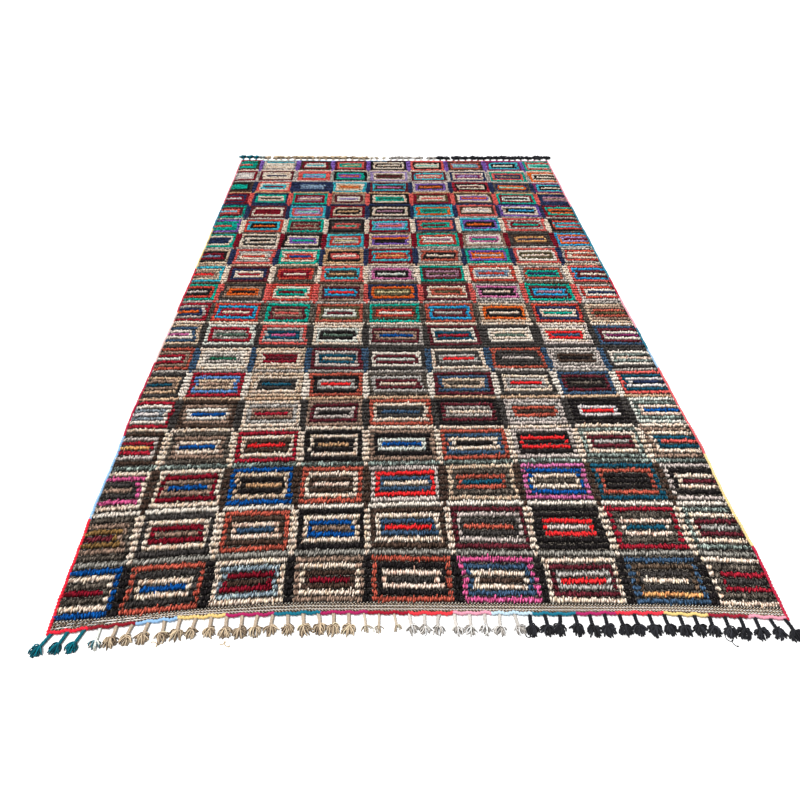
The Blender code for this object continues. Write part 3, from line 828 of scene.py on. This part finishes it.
def ground_material():
    """Cotton and wool weft, beaten hard: short light and dark stitches in turn, which show as dotted lines in
    the gaps between the rows of knots. The light stitches are dim and few, as painted shade in those gaps."""
    name = "weft_cotton_and_wool_woven"
    material, tree, shader = new_material(name, Roughness=0.95, Specular_IOR_Level=0.1)
    place = add(tree, "ShaderNodeTexCoord").outputs["Object"]
    stitches = add(
        tree, "ShaderNodeTexBrick", [("Vector", place)], Scale=1.0, Mortar_Size=WEFT_CRACK, Mortar_Smooth=0.2,
        Bias=-0.45, Brick_Width=WEFT_LONG, Row_Height=WEFT_ROW,
    )
    # The weft's own dark and light stitches, with both darkened as painted shade for the gaps between rows.
    for key, code in (("Color1", "0e0b0a"), ("Color2", "a0968a"), ("Mortar", "0a0808")):
        stitches.inputs[key].default_value = (*linear(code), 1)
    tree.links.new(shader.inputs["Base Color"], stitches.outputs["Color"])
    height = ("Height", stitches.outputs["Fac"])
    relief = add(tree, "ShaderNodeBump", [height], Strength=0.4, Distance=WEFT_CRACK, invert=True)
    tree.links.new(shader.inputs["Normal"], relief.outputs["Normal"])
    return material


def end_place(u, heights, side):
    """The cloth's edge at an end, at u across, with the cord and a gap left outside it."""
    inset = CORD_WIDE / 2 + GAP
    left, right = side_x(heights[3])
    x = left + CORD_WIDE + GAP + (u + 1) / 2 * (right - left - 2 * (CORD_WIDE + GAP))
    return x, np.interp(x, COLUMNS, heights) + side * inset


def ground(material):
    """The woven ground under the pile: a closed slab over a grid of u across and v along, on the same arches
    and waves as the pile, its first and last lines on the cloth's edges."""
    across, along = GROUND_GRID
    first, last = BAND_Y[0] - GROUND_REACH[0], BAND_Y[-1] + GROUND_REACH[1]
    u, v = np.meshgrid(np.linspace(-1, 1, across), np.linspace(first, last, along))
    x, y = pile_place(u, v)
    x[0], y[0] = end_place(u[0], NEAR_Y, 1)
    x[-1], y[-1] = end_place(u[-1], FAR_Y, -1)
    top = np.stack([x, y, np.full_like(x, GROUND_TOP)], axis=2).reshape(-1, 3)
    base = top * (1, 1, 0)
    cell = (np.arange(along - 1)[:, None] * across + np.arange(across - 1)).ravel()
    quads = np.stack([cell, cell + 1, cell + across + 1, cell + across], axis=1)
    rim = np.concatenate([
        np.arange(across), np.arange(2, along + 1) * across - 1,
        (along - 1) * across + np.arange(across - 2, -1, -1), np.arange(along - 2, 0, -1) * across,
    ])
    after = np.roll(rim, -1)
    total = across * along
    walls = np.stack([rim, rim + total, after + total, after], axis=1)
    faces = np.concatenate([quads, quads[:, ::-1] + total, walls])
    thing = piece("woven_ground", np.concatenate([top, base]), faces, material)
    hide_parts("rug_body")
    return thing


def end_band(material):
    """The flat-woven band: rows of small stitches that slant one way and the other in turn, each a closed
    tube of two rings. Two colours take turns along a row, and towards the left corner a dark and a light one
    mix in."""
    number = np.arange(STITCHES)
    u = (number + 0.5) / STITCHES * 2 - 1
    inner_x, inner_y = end_place(u, NEAR_Y, 1)
    first = row_lines()[0][0]
    _, pile_y = pile_place(u, np.full_like(u, first))
    depth = (pile_y - FIRST_ROW_HALF - inner_y) / len(END_ROWS)
    step = (inner_x[-1] - inner_x[0]) / STITCHES
    corner = np.clip((-0.72 - u) / 0.2, 0, 1)
    path, colour = [], []
    for row, (one, two, lean, across) in enumerate(END_ROWS):
        y = inner_y + depth * (row + 0.5) + uneven("stitch", STITCHES)
        ends = []
        for side in (-1, 1):
            forth = side * depth * across * (1 if row % 2 else -1)
            top = np.full_like(y, GROUND_TOP)
            ends.append(np.stack([inner_x + side * lean * step, y + forth, top], axis=1))
        path.append(np.stack(ends, axis=1))
        turn = (number % 2 == 0)[:, None]
        plain = np.where(turn, linear(one), linear(two))
        peppered = np.where(turn, *(linear(code) for code in CORNER_PAIR))
        mixed = (rng.random(STITCHES) < 0.75 * corner * (row % 2))[:, None]
        colour.append(np.where(mixed, peppered, plain) * (1 + uneven("stitch_dye", (STITCHES, 1))))
    path, colour = np.concatenate(path), np.concatenate(colour)
    half = np.full(path.shape[:2], STITCH_THICK)
    points, faces, uv, size = tubes(path, half, half, 3, 1)
    colour = shaded(colour, STITCH_PAINTED_LIGHT, size)
    colours = {"yarn": colour, "second": colour * 0.8}
    return piece("end_band_stitches", points, faces, material, uv, colours)


def cord(edge, path, tall, base, wraps, axis, material):
    """The wrapped cord of one edge: a closed tube whose middle turns about the cord's line once a twist, so
    that its sides bulge at every wrap. Its yarn changes at each stop along the edge's axis, 0 or 1."""
    steps = np.concatenate([[0.0], np.cumsum(np.linalg.norm(np.diff(path, axis=0), axis=1))])
    rings = int(steps[-1] / CORD_STEP) + 1
    s = np.linspace(0, steps[-1], rings)
    x, y = np.interp(s, steps, path[:, 0]), np.interp(s, steps, path[:, 1])
    drift, more_turn, more_out = (
        sum(size * np.sin(s / long) for size, long in table) for table in (DRIFT_WAVES, TURN_WAVES, OUT_WAVES)
    )
    turn = 2 * np.pi * s / TWIST + more_turn
    out = TWIST_OUT * (1 + more_out)
    if axis == 0:
        drift = drift + SCALLOP * np.cos(2 * np.pi * s * (TASSELS - 1) / s[-1])
    heading = np.gradient(np.stack([x, y], axis=1), axis=0)
    heading /= np.linalg.norm(heading, axis=1, keepdims=True)
    x = x - heading[:, 1] * (out * np.cos(turn) + drift)
    y = y + heading[:, 0] * (out * np.cos(turn) + drift)
    half = (tall / 2 - TWIST_OUT / 2) * CORD_FULL
    z = base + tall / 2 + out * 0.5 * np.sin(turn)
    swell = 1 + 0.08 * np.cos(2 * turn)
    wide = (CORD_WIDE / 2 - TWIST_OUT * 0.4) * swell * CORD_FULL
    path = np.stack([x, y, z], axis=1)
    points, faces, uv, _ = tubes(path[None], wide[None], (half * swell)[None], CORD_SIDES, CORD_CHUNK)
    stops = np.array([stop for _, stop in wraps])
    index = np.minimum(np.searchsorted(stops, path[:, axis]), len(wraps) - 1)
    main = np.array([linear(code) for code, _ in wraps])[index]
    main = CORD_SHADE * main * (1 + uneven("wrap_dye", (rings, 1)))
    ends = np.stack([main[0], main[-1]])
    colour = np.clip(np.concatenate([main.repeat(CORD_SIDES, axis=0), ends]), 0.004, 0.95)
    colours = {"yarn": colour, "second": colour * 0.72}
    thing = piece(f"cord_{edge}", points, faces, material, uv, colours)
    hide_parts(*[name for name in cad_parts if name.startswith(f"{edge}_wrap_")])


def cords(material):
    """The four cords, along the same lines as the CAD model's."""
    for edge, heights, wraps in (("near", NEAR_Y, NEAR_WRAPS), ("far", FAR_Y, FAR_WRAPS)):
        left, right = side_x(np.interp(-1.0, COLUMNS, heights))
        x = np.linspace(left + CORD_WIDE + 2 * GAP, right - CORD_WIDE - 2 * GAP, 60)
        path = np.stack([x, np.interp(x, COLUMNS, heights)], axis=1)
        cord(edge, path, END_CORD_TALL, STRIP_TALL + GAP, wraps, 0, material)
    for edge, outside, inward, end, wraps in (
        ("left", LEFT_X, 1, 0, LEFT_WRAPS), ("right", RIGHT_X, -1, -1, RIGHT_WRAPS),
    ):
        y = np.linspace(NEAR_Y[end] - CORD_WIDE / 2, FAR_Y[end] + CORD_WIDE / 2, 90)
        path = np.stack([np.interp(y, SIDE_Y, outside) + inward * CORD_WIDE / 2, y], axis=1)
        cord(edge, path, SIDE_CORD_TALL, SIDE_CORD_BASE, wraps, 1, material)


def tassel(root, lean, reach, out, sort):
    """One tassel. Its stem is three thick strands that pass over each other in turn. Its tuft is a mop: each
    strand leaves the stem's end at its own angle, turns back towards the stem's line as it goes, arches up
    and sinks to the floor. Returns the two sets of paths, half widths, main colours and second colours."""
    _, _, main, second, stem, girth, strands, thick, turned, long = sort
    main, second, stem = linear(main), linear(second), linear(stem)
    ahead = np.array((math.sin(lean), out * math.cos(lean)))
    aside = np.array((out * ahead[1], -out * ahead[0]))
    t = np.linspace(-0.15, 1.05, 12) + np.zeros((3, 1))
    turn = 2 * np.pi * (t * STEM_LONG / BRAID_TURN + np.arange(3)[:, None] / 3)
    bow = uneven("stem_bow") * np.sin(np.pi * np.clip(t, 0, 1))
    side = (BRAID_OUT * girth * np.sin(turn) + bow)[:, :, None]
    plan = root + ahead * (t * STEM_LONG * reach)[:, :, None] + aside * side
    z = (BRAID_MIDDLE + BRAID_RISE * np.sin(2 * turn)) * girth
    stems = np.concatenate([plan, z[:, :, None]], axis=2)
    half = np.full(z.shape, BRAID_HALF * girth)
    tint = 1 + uneven("stem_dye", (3, 1))
    stem_set = (stems, half, stem * tint, np.repeat(0.6 * stem[None], 3, axis=0))
    place = np.linspace(-1, 1, strands)[:, None] + uneven("tuft_fan", (strands, 1))
    bend = np.linspace(1.05, 0.25, 4) + uneven("tuft_bend", (strands, 4))
    curl = uneven("tuft_curl", (strands, 1)) * np.linspace(-0.5, 1.4, 4)
    angle = math.radians(turned) * place * bend + uneven("tuft_turn") + curl
    span = long * reach * (1 - 0.26 * place**2) * rng.uniform(0.78, 1.12, (strands, 1)) / 4
    forth = np.concatenate([np.full((strands, 1), -2.0 * MM), span * np.cos(angle)], axis=1)
    forth = np.cumsum(forth, axis=1)
    sideways = np.concatenate([uneven("tuft_foot", (strands, 1)), span * np.sin(angle)], axis=1)
    sideways = np.cumsum(sideways, axis=1)
    plan = root + ahead * (STEM_LONG * reach) + forth[:, :, None] * ahead + sideways[:, :, None] * aside
    layer = rng.permutation(np.linspace(0.08, 1.0, strands))[:, None]
    z = thick + TUFT_RISE * reach * layer * TUFT_HIGH
    tufts = np.concatenate([plan, z[:, :, None]], axis=2)
    half = thick * reach * TUFT_GIRTH * rng.uniform(0.8, 1.15, (strands, 1))
    pick = rng.random((strands, 1)) < 0.35 + 0.3 * (1 - layer)
    # The lower a strand lies, the darker it is: painted shade under the strands above it, and a little
    # painted light on the highest, times the uneven dye.
    tint = (0.55 + 0.6 * layer) * (1 + uneven("tuft_dye", (strands, 1)))
    tuft_set = (tufts, half, np.where(pick, second, main) * tint, np.where(pick, main, second) * tint * 0.8)
    return stem_set, tuft_set


def fringe(end, heights, leans, seed, material):
    """The tassels of one end, from corner to corner, one piece for each yarn."""
    out = -1 if end == "near" else 1
    lean_rng = random.Random(seed)
    left, right = side_x(np.interp(-1.0, COLUMNS, heights))
    start = left + CORD_WIDE + CORNER_INSET
    pitch = (right - CORD_WIDE - CORNER_INSET - start) / (TASSELS - 1)
    groups = {}
    number = 0
    for sort in TASSEL_SORTS:
        for _ in range(sort[1]):
            foot = start + number * pitch
            number += 1
            lean = np.interp(foot, LEAN_X, leans) + lean_rng.uniform(-LEAN_SPREAD, LEAN_SPREAD)
            lean = math.radians(lean + uneven("tassel_lean"))
            reach = 1 + lean_rng.uniform(-1, 1) * REACH_SPREAD / (STEM_LONG + TUFT_LONG)
            reach *= FAR_STRETCH if end == "far" else 1.0
            root = np.array((foot, np.interp(foot, COLUMNS, heights) + out * CORD_WIDE / 2))
            group = groups.setdefault(sort[0], ([], []))
            for store, part in zip(group, tassel(root, lean, reach, out, sort)):
                store.append(part)
    for yarn, group in groups.items():
        sets, colours = [], {"yarn": [], "second": []}
        for parts, pattern in zip(group, (STEM_PAINTED_LIGHT, TUFT_PAINTED_LIGHT)):
            path, half, main, second = (np.concatenate(a) for a in zip(*parts))
            sets.append(tubes(path, half, half, len(pattern), path.shape[1] - 1))
            for key, values in (("yarn", main), ("second", second)):
                colours[key].append(shaded(values, pattern, sets[-1][3]))
        colours = {key: np.concatenate(values) for key, values in colours.items()}
        points, faces, uv = join(sets)
        thing = piece(f"fringe_{end}_{yarn}", points, faces, material, uv, colours)
        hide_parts(f"{end}_fringe_{yarn}")


def threads(material):
    """The loose threads that have come out of the tufts: thin tubes that wind about a line on the floor."""
    t = np.linspace(0, 1, 40)
    paths, colours = [], []
    for x, y, heading, long, colour in THREADS:
        wind = 2 * np.pi * t * long / (17 * MM) + 3 * x
        forth = t * long + 4.5 * MM * np.cos(wind)
        aside = 5.0 * MM * np.sin(wind) * (1 - 0.4 * t) + 3 * MM * np.sin(4 * t)
        way = np.array((math.cos(math.radians(heading)), math.sin(math.radians(heading))))
        plan = np.array((x, y)) + forth[:, None] * way + aside[:, None] * way[::-1] * (-1, 1)
        paths.append(np.concatenate([plan, (1.2 + 0.8 * np.sin(wind / 2) ** 2)[:, None] * MM], axis=1))
        colours.append(linear(colour))
    path = np.stack(paths)
    half = np.full(path.shape[:2], 1.2 * MM)
    points, faces, uv, size = tubes(path, half, half, 4, 39)
    colour = shaded(np.stack(colours), THREAD_PAINTED_LIGHT, size)
    colours = {"yarn": colour, "second": colour * 0.8}
    piece("loose_threads", points, faces, material, uv, colours)


def rug():
    """The whole rug. Returns the ground, and the pieces that are woven into it."""
    pile_wool, cord_wool, fringe_wool, band_wool = (wool(name, *finish) for name, finish in WOOLS.items())
    made = pile(pile_wool)
    made.append(end_band(band_wool))
    cords(cord_wool)
    fringe("near", NEAR_Y, NEAR_LEAN, NEAR_SEED, fringe_wool)
    fringe("far", FAR_Y, FAR_LEAN, FAR_SEED, fringe_wool)
    threads(fringe_wool)
    return ground(ground_material()), made


def soft_light():
    """A white room: an even sky, and one broad soft light from above, the left and a little from beyond."""
    world = bpy.data.worlds.new("room")
    world.use_nodes = True
    sky = world.node_tree.nodes["Background"].inputs
    sky["Color"].default_value = (1, 1, 1, 1)
    sky["Strength"].default_value = SKY_STRENGTH
    bpy.context.scene.world = world
    lamp = bpy.data.lights.new("broad_light", "SUN")
    lamp.energy = LAMP_STRENGTH
    lamp.angle = math.radians(LAMP_WIDTH)
    box = bpy.data.objects.new("broad_light", lamp)
    box.rotation_euler = [math.radians(turn) for turn in LAMP_TURNS]
    bpy.context.scene.collection.objects.link(box)


def floor():
    """A plain pale floor."""
    mesh = bpy.data.meshes.new("floor")
    mesh.from_pydata([(-9, -6, 0), (9, -6, 0), (9, 14, 0), (-9, 14, 0)], [], [(0, 1, 2, 3)])
    material, _, _ = new_material("floor_white_paint", Base_Color=(0.9, 0.9, 0.9, 1), Roughness=0.9)
    mesh.materials.append(material)
    thing = bpy.data.objects.new("floor", mesh)
    bpy.context.scene.collection.objects.link(thing)


def camera():
    """The photograph's view: from 1.54 m up, at the near end, looking down along the rug."""
    lens = bpy.data.cameras.new("camera")
    lens.sensor_fit = "HORIZONTAL"
    lens.sensor_width = SENSOR
    lens.lens = LENS
    thing = bpy.data.objects.new("camera", lens)
    place = Matrix.Translation((np.array(EYE) + SHIFT).tolist())
    for turn, axis in ((YAW, "Z"), (90 - PITCH, "X"), (ROLL, "Z")):
        place = place @ Matrix.Rotation(math.radians(turn), 4, axis)
    thing.matrix_world = place
    bpy.context.scene.collection.objects.link(thing)
    bpy.context.scene.camera = thing


base, pieces = rug()
floor()
soft_light()
camera()
bpy.context.scene.view_settings.view_transform = "Standard"
